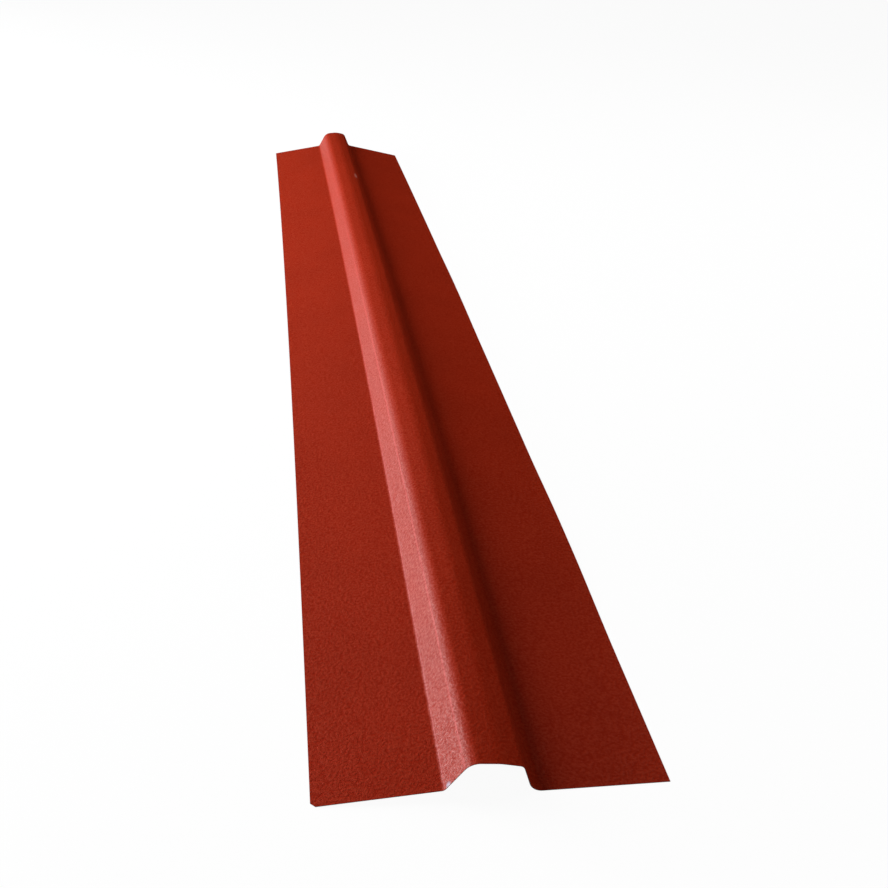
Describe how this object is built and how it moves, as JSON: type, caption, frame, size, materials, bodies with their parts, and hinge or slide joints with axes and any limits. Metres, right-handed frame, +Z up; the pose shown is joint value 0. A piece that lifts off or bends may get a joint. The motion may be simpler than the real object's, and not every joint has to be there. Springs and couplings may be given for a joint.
{
  "type": "roof ridge cap",
  "caption": "Sheet-steel ridge cap folded lengthwise into a flat-topped rib with a sloping wing on each side, laid over the joint along a roof's ridge.",
  "frame": {"origin": "on the floor at mid length, under the middle of the rib, where the cap lies on the outer edges of its wings", "axes": "+Y along the ridge, +X across the cap, +Z up out of the weather side"},
  "size_m": [0.2828, 2, 0.0416],
  "materials": {
    "coated_steel": "matte"
  },
  "bodies": {
    "root": {"ridge_cap": "coated_steel"}
  },
  "joints": []
}
